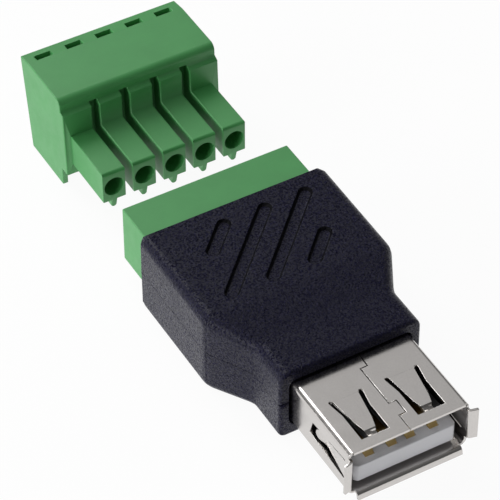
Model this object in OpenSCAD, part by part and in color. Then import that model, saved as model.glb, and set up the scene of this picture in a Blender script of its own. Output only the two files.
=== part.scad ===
// USB socket adapter with a screw terminal plug, shown drawn off its header.
// Millimetres. +Y runs from the USB mouth to the plug, +X is the width, +Z is up.
// The origin is on the housing's underside, at the middle of its wide half.

/* [Terminals] */
// Spacing of the terminals
pitch = 3.5; // [3.4:0.05:4]
// Thickness of a square header pin
pin_t = 0.8; // [0.6:0.05:0.9]
// Length of a pin inside the header's mouth
pin_free = 6; // [5:0.1:6.3]
// Length of a pin along the circuit board
pin_tail = 3.6; // [2.5:0.1:4.5]

/* [Header] */
// Outer pin to the header's end face
header_end = 2.45; // [2.35:0.05:3]
// Height of the header
header_h = 6.75; // [6.6:0.05:7.4]
// Part of the header that stands out of the housing
header_out = 5.3; // [4.8:0.1:6.5]
// Part of the header inside the housing
header_in = 3.9; // [3.5:0.1:5]
// Thickness of the wall that holds the pins
header_base = 2; // [1.5:0.1:2.3]
// Thickness of the header's two end walls
header_wall = 0.9; // [0.7:0.05:1]
// Height of the pins' axis above the header's underside
pin_up = 3.45; // [3.3:0.05:3.6]

/* [Housing] */
// Housing wall beside the header
side_wall = 0.95; // [0.8:0.05:2]
// Housing wall under the header
floor_wall = 1.6; // [1.3:0.05:2.2]
// Housing wall over the header
roof_wall = 1.2; // [0.9:0.05:1.8]
// Wall of the hollow that holds the circuit board
bay_wall = 1.2; // [1:0.05:1.6]
// Length of the wide half
wide_l = 13.2; // [12.5:0.1:18]
// Length of the taper between the wide half and the neck
taper_l = 4.7; // [3:0.1:8]
// Length of the neck
neck_l = 5; // [4:0.1:8]
// Wall beside the USB shell
neck_wall = 1.05; // [0.8:0.05:1.8]
// Wall over and under the USB shell
neck_roof = 1.2; // [1.2:0.05:1.35]
// Radius of the housing's upper long edges, at the taper and along the neck
edge_r = 1.15; // [0.5:0.05:1.4]
// Radius of the housing's upper long edges at the rear
edge_back_r = 0.9; // [0.3:0.05:1.4]
// Radius of the housing's lower long edges
edge_low_r = 0.95; // [0.5:0.05:1.4]
// Radius of the neck's lower long edges
neck_low_r = 0.7; // [0.4:0.05:1.2]
// Radius of the housing's rear edges, above and below
rear_r = 0.4; // [0.2:0.05:0.7]
// Radius of the housing's upright rear edges
rear_side_r = 0.5; // [0.1:0.05:0.7]
// Width of the line where the two halves meet
parting = 0.06; // [0.02:0.01:0.2]

/* [Grip grooves] */
// Width of a grip groove
groove_w = 1.45; // [0.8:0.05:2]
// Depth of a grip groove
groove_depth = 0.35; // [0.15:0.05:0.6]
// Distance between the grooves
groove_step = 3.27; // [2.4:0.05:3.6]
// Length of the two long grooves, end centre to end centre
groove_long = 12.2; // [8:0.1:13]
// Length of the two short grooves, end centre to end centre
groove_short = 3.9; // [2:0.1:5]

/* [USB socket] */
// Width of the USB shell
port_w = 13.1; // [13:0.05:13.3]
// Height of the USB shell
port_h = 5.7; // [5.6:0.05:5.9]
// Part of the USB shell in front of the housing
port_out = 10.3; // [8.5:0.1:12]
// Part of the USB shell inside the housing
port_in = 3.9; // [3.5:0.1:4.5]
// Thickness of the shell's sheet
sheet = 0.3; // [0.25:0.01:0.35]
// Outside bend radius of the shell's upper corners
bend_top = 0.55; // [0.5:0.05:0.9]
// Outside bend radius of the shell's lower corners
bend_low = 0.8; // [0.6:0.05:1.1]
// Length of the flared lip under the mouth
lip_l = 0.5; // [0.3:0.05:1]
// Length of the flared ears beside the mouth
ear_l = 0.7; // [0.3:0.05:0.9]
// Angle of the flares
flare_a = 75; // [50:1:85]
// How far the shell's springs reach into the mouth
spring_dip = 0.5; // [0.2:0.05:0.7]
// Width of the insulating tongue
tongue_w = 11.1; // [10.9:0.05:11.2]
// Thickness of the insulating tongue
tongue_t = 2.1; // [1.8:0.05:2.2]
// Room between the tongue and the shell's underside
tongue_room = 0.55; // [0.45:0.05:0.8]
// Width of a USB contact
contact_w = 1; // [0.8:0.05:1.1]

/* [Plug] */
// Width of one finger
finger_w = 2.6; // [2.5:0.05:2.7]
// Finger below the pin's axis
finger_below = 1.8; // [1.7:0.05:1.9]
// Finger above the pin's axis
finger_above = 2; // [1.8:0.05:2.1]
// Length of the fingers
finger_l = 6.7; // [6.3:0.1:6.9]
// Diameter of the hole in a finger
finger_hole = 2.2; // [2.05:0.05:2.25]
// Width of the key rib under a finger
key_w = 0.65; // [0.4:0.05:1]
// Height of the key rib under a finger
key_h = 1.15; // [0.6:0.05:1.2]
// Outer pole to the plug's side face
plug_end = 2.05; // [2:0.05:2.4]
// Length of the plug from its finger tips to its upper rear edge
plug_l = 16.4; // [16:0.1:18]
// How far the plug's rear face leans in towards its foot
plug_rake = 1.6; // [0.5:0.1:2]
// Height of the plug's top above the pins' axis
plug_rise = 6.4; // [5.5:0.1:7.5]
// Height of the shoulders over the fingers, above the pins' axis
shoulder_up = 5.05; // [4.3:0.05:5.2]
// Radius of the plug's upper front edge
brow_r = 0.8; // [0.3:0.05:1]
// Thickness of the plug's two end plates
plate_t = 0.62; // [0.5:0.02:0.8]
// How far the end plates stand below the plug's underside
plate_drop = 0.25; // [0.1:0.05:0.4]
// Width of a window in the plug's top
window_w = 1.82; // [1.2:0.02:2.2]
// Length of a window in the plug's top
window_l = 0.8; // [0.5:0.05:1]
// How far the plug is drawn off: header mouth to finger tips
plug_gap = 6.5; // [1:0.1:20]

/* [Clamps] */
// Diameter of a clamp screw's thread
screw_d = 2; // [1.6:0.1:2]
// Diameter of a clamp screw's head
head_d = 2.6; // [2.3:0.05:2.7]
// Height of a clamp screw's head
head_h = 1.1; // [0.8:0.05:1.2]
// Width of the slot in a screw's head
slot_w = 0.45; // [0.3:0.05:0.6]
// Width of a clamp cage
cage_w = 2.5; // [2.4:0.05:2.55]
// Length of a clamp cage
cage_l = 3; // [2.6:0.1:3.2]
// Side wall of a clamp cage
cage_wall = 0.4; // [0.3:0.05:0.45]
// Thickness of a cage's threaded wall
cage_nut = 0.8; // [0.6:0.05:0.9]
// Height of the room for a wire
wire_room = 2.1; // [1.8:0.05:2.3]
// Travel of a cage from open to closed
clamp_travel = 1.7; // [1:0.05:1.75]

/* [Circuit board] */
// Thickness of the circuit board
board_t = 1; // [0.8:0.1:1.6]
// Diameter of the pegs that locate the board
peg_d = 1.2; // [0.8:0.1:1.6]

/* [Hidden] */
$fn = 48;

// Colours
black = [0.12, 0.12, 0.16];
board_green = [0.1, 0.35, 0.2];
steel = [0.72, 0.7, 0.69];
white = [0.93, 0.93, 0.93];
gilt = [0.86, 0.68, 0.3];
green = [0.3, 0.57, 0.34];
tin = [0.82, 0.8, 0.75];
zinc = [0.79, 0.78, 0.74];

// Clearances
slip = 0.05;       // parts that slide together at assembly
snug = 0.02;       // pins and contacts in their moulded holes
port_gap = 0.2;    // housing round the USB shell
finger_gap = 0.2;  // fingers in the header
run = 0.15;        // moving clamp parts in the plug
thread_gap = 0.03; // screw in the cage's thread
head_gap = 0.08;   // screw's head in the plug
stop_gap = 0.1;    // plug against the header when it is pushed home
past = 1;          // how far a cutter runs past the face that it opens
thin = 0.05;       // slices that a hull joins

// Terminals
poles = 5;
function pole_x(i) = (i - (poles + 1) / 2) * pitch;
row_w = (poles - 1) * pitch;

// Header and the wide half of the housing around it
header_w = row_w + 2 * header_end;
housing_w = header_w + 2 * (slip + side_wall);
housing_h = floor_wall + header_h + roof_wall + 2 * slip;
wide_back = wide_l / 2;
wide_front = -wide_l / 2;
header_z = floor_wall + slip;
header_mouth = wide_back + header_out;
header_inner = wide_back - header_in;
header_floor = header_inner + header_base;
pin_z = header_z + pin_up;
pin_tip = header_floor + pin_free;
pin_back = header_inner - pin_tail;
pin_bevel = 0.2;
key_slot_w = key_w + 2 * run;
key_slot_z = pin_z - finger_below - key_h - finger_gap;

// Neck and the USB shell in it
port_z = housing_h / 2;
neck_back = wide_front - taper_l;
nose = neck_back - neck_l;
neck_w = port_w + 2 * (port_gap + neck_wall);
neck_h = port_h + 2 * (port_gap + neck_roof);
mouth = nose - port_out;
port_back = nose + port_in;

// Circuit board, under the pins and level with the USB contacts' tails
board_top = pin_z - pin_t / 2;
board_z = board_top - board_t;
board_front = port_back + slip;
board_back = header_inner - slip;
board_nose_w = port_w - 2 * (sheet + slip);
bay_w = housing_w - 2 * bay_wall;
board_gap = 0.7;
board_w = bay_w - 2 * board_gap;
board_step = wide_front + bay_wall + board_gap;
peg_in = 1.6;
peg_x = board_w / 2 - peg_in;
peg_y = board_step + peg_in;
peg_h = 1.2;
post_wall = 0.5;
post_d = peg_d + 2 * post_wall;
rear_post_y = board_back - post_d / 2 - post_wall;

// Line where the halves meet, and the lower half's rim that locates the upper one
split_up = 0.2;
split_z = port_z + split_up;
rim_t = 0.5;
rim_h = 0.8;
rim_front = wide_front + bay_wall + rim_t;
rim_back = header_inner - rim_t;

// Grip grooves
groove_slant = 45;
groove_y = -0.7;
groove_shift = 0.33;

// Springs of the USB shell: distances from the mouth, then their places
spring_x = 3.06;
spring_root_in = 6.3;
spring_waist_in = 2.95;
spring_crease_in = 1.93;
spring_lip_in = 1.73;
spring_tip_in = 1.42;
spring_fold = 0.12;
window_waist_in = 4.35;
window_front_in = 1;
spring_root = mouth + spring_root_in;
spring_waist = mouth + spring_waist_in;
spring_crease = mouth + spring_crease_in;
spring_lip = mouth + spring_lip_in;
spring_tip = mouth + spring_tip_in;
window_waist = mouth + window_waist_in;
window_front = mouth + window_front_in;
spring_root_w = 2.8;
spring_waist_w = 1.74;
spring_crease_w = 1.18;
spring_lip_w = 0.95;
spring_sag = 0.2;
window_root_w = 3.63;
window_mouth_w = 2.96;
slot_end = 0.37;
side_root_in = 0.6;
side_waist_in = 3.8;
side_bow_in = 4.4;
side_tip_in = 6;
side_back_in = 6.9;
side_root = mouth + side_root_in;
side_waist = mouth + side_waist_in;
side_bow = mouth + side_bow_in;
side_tip = mouth + side_tip_in;
side_window_back = mouth + side_back_in;
side_tip_r = 0.62;
side_waist_h = 0.85;
side_root_h = 2.2;
side_window_h = 2.65;
side_up = 0.2;
side_z = port_z + side_up;
side_back_up = 0.9;
side_back_down = 0.8;
side_slant = 0.5;
side_dip = 0.35;

// Seam, lip and ears of the USB shell
seam_w = 0.08;
seam_tab_w = 0.8;
seam_hook_in = 8.7;
seam_back_in = 3.6;
seam_front_in = 1.85;
seam_hook = mouth + seam_hook_in;
seam_tab_back = mouth + seam_back_in;
seam_tab_front = mouth + seam_front_in;
lip_out = 0.15;
lip = mouth - lip_out;
corner_depth = 0.15;
top_notch = 0.45;
top_lip_w = port_w - 2 * top_notch;
flare_r = 0.12;
ear_h = 3.75;
ear_up = 0.23;
ear_z = port_z + ear_up;
low_lip_w = port_w - 2 * bend_low;
shell_tab_l = 2.6;
shell_tab_h = 1.4;
shell_tab_up = 0.2;

// Insulating tongue and contacts
tongue_z = port_z - port_h / 2 + sheet + tongue_room;
tongue_top = tongue_z + tongue_t;
tongue_in = 0.35;
tongue_front = mouth + tongue_in;
tongue_bevel = 0.35;
block_in = 8.8;
block_short = 0.3;
block_front = mouth + block_in;
block_back = port_back - block_short;
contact_outer = 3.5;
contact_inner = 1;
contact_x = [-contact_outer, -contact_inner, contact_inner, contact_outer];
contact_t = 0.25;
contact_in = 0.75;
contact_bow_in = 0.7;
contact_level_in = 4.5;
contact_front = tongue_front + contact_in;
contact_bow = contact_front + contact_bow_in;
contact_level = contact_front + contact_level_in;
contact_groove = 0.5;
contact_bump = 0.4;
contact_tail = 2.4;
bow_half = 0.25;
bow_round = 0.1;
groove_short_of = 1;
groove_end = block_front - groove_short_of;

// Plug, lying on the surface that the housing lies on
tip = header_mouth + plug_gap;
plug_w = row_w + 2 * plug_end;
plug_front = tip + finger_l;
plug_back = tip + plug_l;
plug_top = pin_z + plug_rise;
under_z = plate_drop;
shoulder_z = pin_z + shoulder_up;
shoulder_slope = 0.3;
shoulder_l = 0.6;
face_draft = 0.3;
brow_y = plug_front + face_draft + shoulder_l;
chin_z = pin_z - finger_below - key_h;
chin_l = 1.15;
crease_l = 1.9;
crease_drop = 0.3;
slot_in = 0.75;
slot_up = 0.05;
slot_top = shoulder_z + slot_up;
slot_back = brow_y + slot_in;
nose_r = 1.95;
nose_slope = 2.2;
key_back_off = 0.2;
window_in = 1.3;
window_y = plug_back - window_in;
window_depth = 1;
window_ledge = 0.3;

// Clamp behind each finger
bar_t = 0.4;
bar_w = 1.4;
bar_down = 0.2;
bar_top = pin_z - bar_down;
bar_z = bar_top - bar_t;
cage_in = 11;
cage_y = tip + cage_in;
cage_roof = 0.5;
cage_z = bar_z - stop_gap - cage_nut;
cage_top = bar_top + wire_room + cage_roof;
head_top = cage_z - clamp_travel - run;
head_z = head_top - head_h;
pocket_w = cage_w + 2 * run;
pocket_l = cage_l + 2 * run;
pocket_back = cage_y + pocket_l / 2;
pocket_front = cage_y - pocket_l / 2;
pocket_top = cage_top + run;
entry_w = 2.2;
entry_flare = 0.25;
entry_flare_l = 0.7;
tube_in = 1.9;
tube_front = tip + tube_in;
tube_l = 4.8;
tube_plug = 0.8;
tube_d = finger_hole - 2 * slip;
tube_wall = 0.2;
tube_split = 0.3;
slot_depth = 0.5;

// Outline drawn in X and Z, run along Y
module along_y(y0, y1) {
    translate([0, y1, 0]) rotate([90, 0, 0]) linear_extrude(y1 - y0) children();
}

// Outline drawn in Y and Z, run along X
module along_x(x0, x1) {
    translate([x0, 0, 0]) rotate([90, 0, 90]) linear_extrude(x1 - x0) children();
}

// Outline drawn in X and Y, run up along Z
module along_z(z0, z1) {
    translate([0, 0, z0]) linear_extrude(z1 - z0) children();
}

// Box given by its centre in X and its limits in Y and Z
module bar(w, y0, y1, z0, z1, x = 0) {
    translate([x - w / 2, y0, z0]) cube([w, y1 - y0, z1 - z0]);
}

// Upright round post
module post(x, y, z0, z1, d) {
    translate([x, y, z0]) cylinder(h = z1 - z0, d = d);
}

// Rectangle about the port's axis, with one radius at the top and one below
module round_outline(w, h, r_top, r_low) {
    translate([0, port_z]) {
        translate([-w / 2, -h / 2 + r_low]) square([w, h - r_low - r_top]);
        translate([-w / 2 + r_top, h / 2 - r_top]) square([w - 2 * r_top, r_top]);
        translate([-w / 2 + r_low, -h / 2]) square([w - 2 * r_low, r_low]);
        for (side = [-1, 1]) {
            translate([side * (w / 2 - r_top), h / 2 - r_top]) circle(r_top);
            translate([side * (w / 2 - r_low), -h / 2 + r_low]) circle(r_low);
        }
    }
}

// Outline of the wide half, seen from above or from the side, with its rear edges rounded
module back_rounded(w, r) {
    translate([-w / 2, 0]) square([w, wide_l - r]);
    translate([r - w / 2, 0]) square([w - 2 * r, wide_l]);
    for (side = [-1, 1]) translate([side * (w / 2 - r), wide_l - r]) circle(r);
}

// Thin slice across the housing at its wide half, and one across its neck
module wide_slice(y, r_top) {
    along_y(y, y + thin) round_outline(housing_w, housing_h, r_top, edge_low_r);
}
module neck_slice(y) {
    along_y(y, y + thin) round_outline(neck_w, neck_h, edge_r, neck_low_r);
}

// Outer form of the closed housing
module housing_form() {
    intersection() {
        hull($fn = 32) {
            wide_slice(wide_front, edge_r);
            wide_slice(wide_back - thin, edge_back_r);
        }
        along_z(-past, housing_h + past) translate([0, wide_front])
            back_rounded(housing_w, rear_side_r);
        along_x(-housing_w, housing_w) translate([wide_front, port_z]) rotate(-90)
            back_rounded(housing_h, rear_r);
    }
    hull($fn = 32) {
        wide_slice(wide_front, edge_r);
        neck_slice(neck_back - thin);
    }
    along_y(nose, neck_back) round_outline(neck_w, neck_h, edge_r, neck_low_r);
}

// Hollows for the header, the circuit board and the USB shell
module housing_hollow() {
    header_top = header_z + header_h;
    bar(header_w + 2 * slip, header_inner, wide_back + past,
        header_z - slip, header_top + slip);
    bar(bay_w, wide_front + bay_wall, header_inner + slip, bay_wall, housing_h - bay_wall);
    along_y(nose - past, wide_front + bay_wall + past)
        round_outline(port_w + 2 * port_gap, port_h + 2 * port_gap,
                      bend_top + port_gap, bend_low + port_gap);
}

// One rounded grip groove, cut down from the housing's top
module grip_groove(length) {
    along_z(housing_h - groove_depth, housing_h + past) {
        square([length, groove_w], center = true);
        for (end = [-1, 1]) translate([end * length / 2, 0]) circle(d = groove_w);
    }
}

// Four slanting grooves: two long ones between two short ones at opposite ends
module grip_grooves() {
    short_shift = groove_short / 2 + 1.5 * groove_step - groove_long / 2;
    translate([0, groove_y, 0]) rotate([0, 0, groove_slant])
        translate([groove_shift, 0, 0]) {
        for (side = [-1, 1]) {
            translate([side * groove_step / 2, -side * groove_step / 2, 0])
                grip_groove(groove_long);
            translate([-side * short_shift, side * groove_step * 1.5, 0])
                grip_groove(groove_short);
        }
    }
}

module upper_shell() color(black) {
    split = split_z + parting / 2;
    difference() {
        union() {
            intersection() {
                difference() { housing_form(); housing_hollow(); }
                bar(2 * housing_w, nose - past, wide_back + past, split, 2 * housing_h);
            }
            for (side = [-1, 1])
                post(side * peg_x, peg_y, board_top, housing_h - bay_wall + slip, post_d);
        }
        grip_grooves();
        for (side = [-1, 1]) {
            post(side * peg_x, peg_y, board_top - past, board_top + peg_h + run,
                 peg_d + 2 * slip);
            bar(rim_t + 2 * slip, rim_front - slip, rim_back + slip,
                split - past, split_z + rim_h + slip, side * (bay_w / 2 + rim_t / 2));
        }
    }
}

module lower_shell() color(black) {
    split = split_z - parting / 2;
    intersection() {
        difference() { housing_form(); housing_hollow(); }
        bar(2 * housing_w, nose - past, wide_back + past, -past, split);
    }
    for (side = [-1, 1]) {
        post(side * peg_x, peg_y, bay_wall - slip, board_z, post_d);
        post(side * peg_x, peg_y, board_z - slip, board_top + peg_h, peg_d);
        post(side * peg_x, rear_post_y, bay_wall - slip, board_z, post_d);
        bar(rim_t, rim_front, rim_back, split - slip, split_z + rim_h,
            side * (bay_w / 2 + rim_t / 2));
    }
}

module circuit_board() color(board_green) {
    difference() {
        union() {
            bar(board_w, board_step, board_back, board_z, board_top);
            bar(board_nose_w, board_front, board_step + slip, board_z, board_top);
        }
        for (side = [-1, 1])
            post(side * peg_x, peg_y, board_z - past, board_top + past, peg_d + 2 * slip);
    }
}

// Outline of the gap round a top spring, drawn in X and Y about the spring's middle
module spring_window() {
    polygon([[-window_root_w / 2, spring_root], [window_root_w / 2, spring_root],
             [window_mouth_w / 2, window_waist], [window_mouth_w / 2, window_front],
             [-window_mouth_w / 2, window_front], [-window_mouth_w / 2, window_waist]]);
    for (side = [-1, 1])
        translate([side * (window_root_w - slot_end) / 2, spring_root]) circle(d = slot_end);
}

// Outline of a top spring, root to lip
module spring_outline() {
    polygon([[-spring_root_w / 2, spring_root + slot_end / 2],
             [spring_root_w / 2, spring_root + slot_end / 2],
             [spring_waist_w / 2, spring_waist], [spring_crease_w / 2, spring_crease],
             [spring_lip_w / 2, spring_lip], [spring_lip_w / 2, spring_tip],
             [-spring_lip_w / 2, spring_tip], [-spring_lip_w / 2, spring_lip],
             [-spring_crease_w / 2, spring_crease], [-spring_waist_w / 2, spring_waist]]);
}

// A top spring: it slopes into the mouth, steps down at a crease and ends in a level lip
module top_spring() {
    top = port_z + port_h / 2;
    root = spring_root + slot_end / 2;
    intersection() {
        along_z(top - 2 * spring_dip - sheet, top) spring_outline();
        along_x(-window_root_w, window_root_w)
            polygon([[root, top], [spring_crease, top - spring_sag],
                     [spring_lip, top - spring_dip], [spring_tip, top - spring_dip],
                     [spring_tip, top - spring_dip - sheet],
                     [spring_lip + spring_fold, top - spring_dip - sheet],
                     [spring_crease + spring_fold, top - spring_sag - sheet],
                     [root, top - sheet]]);
    }
}

// Outline of the gap round a side spring, drawn in Y and Z
module side_window() {
    half = side_window_h / 2;
    polygon([[side_root, side_z - half], [side_root, side_z + half],
             [side_window_back - side_slant, side_z + side_back_up],
             [side_window_back, side_z - side_back_down]]);
}

// Outline of a side spring: rooted at the mouth, with a round tip towards the housing
module side_outline() {
    tip_y = side_tip - side_tip_r;
    polygon([[side_root - slip, side_z - side_root_h / 2],
             [side_root - slip, side_z + side_root_h / 2],
             [side_waist, side_z + side_waist_h / 2],
             [tip_y, side_z + side_tip_r], [tip_y, side_z - side_tip_r],
             [side_waist, side_z - side_waist_h / 2]]);
    translate([tip_y, side_z]) circle(side_tip_r);
}

// A side spring of the right wall: it bows into the mouth
module side_spring() {
    x1 = port_w / 2;
    root = side_root - slip;
    intersection() {
        along_x(x1 - 2, x1) side_outline();
        along_z(port_z - port_h / 2, port_z + port_h / 2)
            polygon([[x1, root], [x1 - side_dip, side_bow], [x1 - side_dip / 3, side_tip],
                     [x1 - side_dip / 3 - sheet, side_tip],
                     [x1 - side_dip - sheet, side_bow], [x1 - sheet, root]]);
    }
}

// Seam of the folded sheet on the shell's top: a hook at the back and a tab at the front
module seam() {
    x_tab = seam_tab_w;
    front = lip - past;
    back = port_back + past;
    square_at(x_tab, seam_hook, back);
    crossing(seam_hook, x_tab);
    square_at(0, seam_tab_back, seam_hook);
    crossing(seam_tab_back, x_tab);
    square_at(x_tab, seam_tab_front, seam_tab_back);
    crossing(seam_tab_front, x_tab);
    square_at(0, front, seam_tab_front);
}

// Stretch of the seam along the shell, and one across it
module square_at(x, y0, y1) {
    translate([x - seam_w / 2, y0 - seam_w / 2]) square([seam_w, y1 - y0 + seam_w]);
}
module crossing(y, x1) {
    translate([-seam_w / 2, y - seam_w / 2]) square([x1 + seam_w, seam_w]);
}

// Section of a flared flange in Y and Z, about the bend's centre. It leaves the wall along -Y
module flare_outline(length) {
    reach = 2 * (flare_r + sheet);
    intersection() {
        difference() { circle(flare_r + sheet); circle(flare_r); }
        polygon([[0, 0], [0, reach], [-reach, reach], [-reach, reach / tan(flare_a)]]);
    }
    rotate(flare_a) translate([-length, flare_r]) square([length, sheet]);
}

// Flared flange along the end of a wall whose outer face is Z = 0
module flange(w, length) {
    along_x(-w / 2, w / 2) translate([lip, -flare_r]) flare_outline(length);
}

module usb_shell() color(steel) {
    top = port_z + port_h / 2;
    low = port_z - port_h / 2;
    difference() {
        along_y(lip, port_back) round_outline(port_w, port_h, bend_top, bend_low);
        along_y(lip - past, port_back + past)
            round_outline(port_w - 2 * sheet, port_h - 2 * sheet,
                          bend_top - sheet, bend_low - sheet);
        for (side = [-1, 1]) translate([side * spring_x, 0, 0])
            along_z(top - 2 * sheet, top + past) spring_window();
        for (side = [-1, 1])
            along_x(side * port_w / 2 - 2 * sheet, side * port_w / 2 + 2 * sheet) side_window();
        along_z(top - 2 * sheet, top + past) seam();
        for (side = [-1, 1]) {
            bar(port_w - top_lip_w, lip - past, lip + corner_depth, ear_z + ear_h / 2, top + past,
                side * port_w / 2);
            bar(port_w - low_lip_w, lip - past, lip + corner_depth, low - past, ear_z - ear_h / 2,
                side * port_w / 2);
        }
    }
    for (side = [-1, 1]) {
        translate([side * spring_x, 0, 0]) top_spring();
        mirror([side < 0 ? 1 : 0, 0, 0]) side_spring();
        mirror([side < 0 ? 1 : 0, 0, 0]) {
            translate([port_w / 2, 0, ear_z]) rotate([0, -90, 0]) flange(ear_h, ear_l);
            bar(sheet, port_back - slip, port_back + shell_tab_l,
                board_top - shell_tab_h, board_top + shell_tab_up, (port_w - sheet) / 2);
        }
    }
    translate([0, 0, low]) flange(low_lip_w, lip_l);
}

module usb_tongue() color(white) {
    difference() {
        union() {
            along_z(tongue_z, tongue_top)
                polygon([[-tongue_w / 2, block_front], [-tongue_w / 2, tongue_front + tongue_bevel],
                         [-tongue_w / 2 + tongue_bevel, tongue_front],
                         [tongue_w / 2 - tongue_bevel, tongue_front],
                         [tongue_w / 2, tongue_front + tongue_bevel], [tongue_w / 2, block_front]]);
            along_y(block_front - slip, block_back)
                round_outline(port_w - 2 * (sheet + snug), port_h - 2 * (sheet + snug),
                              bend_top - sheet, bend_low - sheet);
        }
        for (x = contact_x)
            bar(contact_w + 2 * snug, contact_front - snug, block_back + past,
                tongue_top - contact_groove, tongue_top - contact_groove + contact_t + snug + 2 * slip, x);
        for (x = contact_x)
            bar(contact_w + 2 * snug, contact_front - snug, groove_end,
                tongue_top - contact_groove, tongue_top + past, x);
    }
}

// USB contact: tip in the tongue, a raised bow, a straight run and a tail on the board
module usb_contact(i) color(gilt) {
    strip = tongue_top - contact_groove + snug;
    rise = tongue_top + contact_bump;
    step_y = block_back + slip;
    tail_y = board_front - slip;
    end = board_front + contact_tail;
    along_x(contact_x[i - 1] - contact_w / 2, contact_x[i - 1] + contact_w / 2)
        polygon([[contact_front, strip], [contact_front, strip + contact_t],
                 [contact_bow - bow_half, rise - bow_round], [contact_bow + bow_half, rise],
                 [contact_level, strip + contact_t],
                 [step_y, strip + contact_t], [tail_y, board_top + contact_t],
                 [end, board_top + contact_t], [end, board_top], [tail_y, board_top],
                 [step_y, strip], [contact_level, strip],
                 [contact_bow + bow_half, rise - contact_t],
                 [contact_bow, rise - contact_t - bow_round],
                 [contact_front + bow_half, strip]]);
}

module terminal_header() color(green) {
    difference() {
        bar(header_w, header_inner, header_mouth, header_z, header_z + header_h);
        bar(header_w - 2 * header_wall, header_floor, header_mouth + past,
            pin_z - finger_below - finger_gap, pin_z + finger_above + finger_gap);
        for (i = [1:poles]) {
            bar(key_slot_w, header_floor, header_mouth + past, key_slot_z, pin_z, pole_x(i));
            bar(pin_t + 2 * snug, header_inner - past, header_floor + past,
                pin_z - pin_t / 2 - snug, pin_z + pin_t / 2 + snug, pole_x(i));
        }
    }
}

// Header pin: a square bar with a bevelled tip
module header_pin(i) color(tin) {
    half = pin_t / 2;
    translate([pole_x(i), 0, pin_z]) intersection() {
        along_z(-half, half)
            polygon([[-half, pin_back], [half, pin_back], [half, pin_tip - pin_bevel],
                     [half - pin_bevel, pin_tip], [pin_bevel - half, pin_tip],
                     [-half, pin_tip - pin_bevel]]);
        along_x(-half, half)
            polygon([[pin_back, -half], [pin_back, half], [pin_tip - pin_bevel, half],
                     [pin_tip, half - pin_bevel], [pin_tip, pin_bevel - half],
                     [pin_tip - pin_bevel, -half]]);
    }
}

// Side outline of the plug in Y and Z, without its fingers
module plug_outline() {
    rear = plug_back - plug_rake;
    polygon([[plug_front, chin_z], [plug_front + face_draft, shoulder_z - shoulder_slope],
             [brow_y, shoulder_z], [brow_y, plug_top - brow_r],
             [brow_y + brow_r, plug_top - brow_r], [brow_y + brow_r, plug_top],
             [plug_back - crease_l, plug_top], [plug_back, plug_top - crease_drop],
             [rear, 0], [plug_front + chin_l, 0], [plug_front + chin_l, chin_z]]);
    intersection() {
        translate([brow_y + brow_r, plug_top - brow_r]) circle(brow_r);
        translate([brow_y, plug_top - brow_r]) square([2 * brow_r, brow_r]);
    }
}

// Room under the plug between its end plates: a shallow step and a sloping front
module plug_underside() {
    front = plug_front + chin_l;
    reach = chin_z - under_z;
    polygon([[plug_front - past, -past], [plug_back + past, -past], [plug_back + past, under_z],
             [front + reach, under_z], [front, chin_z], [plug_front - past, chin_z]]);
}

// One finger with a flat cone on its nose, and the rounded key rib under it
module plug_finger(x) {
    reach = finger_l + past;
    intersection() {
        bar(finger_w, tip, tip + reach, pin_z - finger_below, pin_z + finger_above, x);
        translate([x, tip, pin_z]) rotate([-90, 0, 0])
            cylinder(h = reach, r1 = nose_r, r2 = nose_r + nose_slope * reach);
    }
    translate([x, 0, pin_z - finger_below - key_h]) along_y(tip + key_back_off, tip + reach) {
        translate([0, key_w / 2]) circle(d = key_w);
        translate([-key_w / 2, key_w / 2]) square([key_w, key_h]);
    }
}

// Everything cut out of the plug for one pole
module pole_cuts(x) {
    window_floor = plug_top - window_depth;
    translate([x, tip - past, pin_z]) rotate([-90, 0, 0])
        cylinder(h = pocket_front - tip + 2 * past, d = finger_hole);
    bar(pocket_w, pocket_front, pocket_back, head_top, pocket_top, x);
    post(x, cage_y, -past, head_top + slip, head_d + 2 * head_gap);
    bar(entry_w, cage_y, plug_back + past, bar_top, bar_top + wire_room, x);
    entry_mouth(x);
    bar(window_w, window_y - window_l / 2, window_y + window_l / 2,
        window_floor + window_ledge, plug_top + past, x);
    bar(window_w, window_y, window_y + window_l / 2, window_floor, plug_top + past, x);
}

// Wider mouth of a wire entry, following the leaning rear face
module entry_mouth(x) {
    lean = plug_rake / plug_top;
    z0 = bar_top - entry_flare;
    z1 = bar_top + wire_room + entry_flare;
    y0 = plug_back - plug_rake + lean * z0 - entry_flare_l;
    y1 = plug_back - plug_rake + lean * z1 - entry_flare_l;
    along_x(x - entry_w / 2 - entry_flare, x + entry_w / 2 + entry_flare)
        polygon([[y0, z0], [y1, z1], [plug_back + past, z1], [plug_back + past, z0]]);
}

module plug_body() color(green) {
    difference() {
        union() {
            along_x(-plug_w / 2, plug_w / 2) plug_outline();
            for (i = [1:poles]) plug_finger(pole_x(i));
        }
        along_x(plate_t - plug_w / 2, plug_w / 2 - plate_t) plug_underside();
        for (i = [1:poles - 1])
            bar(pitch - finger_w, tip - past, slot_back, chin_z - past, slot_top,
                (pole_x(i) + pole_x(i + 1)) / 2);
        for (i = [1:poles]) pole_cuts(pole_x(i));
    }
}

// Spring socket for one pin: a split tube with a closed end and a bar into the clamp
module socket_contact(i) color(tin) {
    tube_back = tube_front + tube_l;
    translate([pole_x(i), 0, pin_z]) difference() {
        translate([0, tube_front, 0]) rotate([-90, 0, 0]) cylinder(h = tube_l, d = tube_d);
        translate([0, tube_front - past, 0]) rotate([-90, 0, 0])
            cylinder(h = tube_l + past - tube_plug, d = tube_d - 2 * tube_wall);
        bar(tube_split, tube_front - past, tube_back - tube_plug, 0, tube_d);
    }
    bar(bar_w, tube_back - slip, cage_y + cage_l / 2, bar_z, bar_top, pole_x(i));
}

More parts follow.
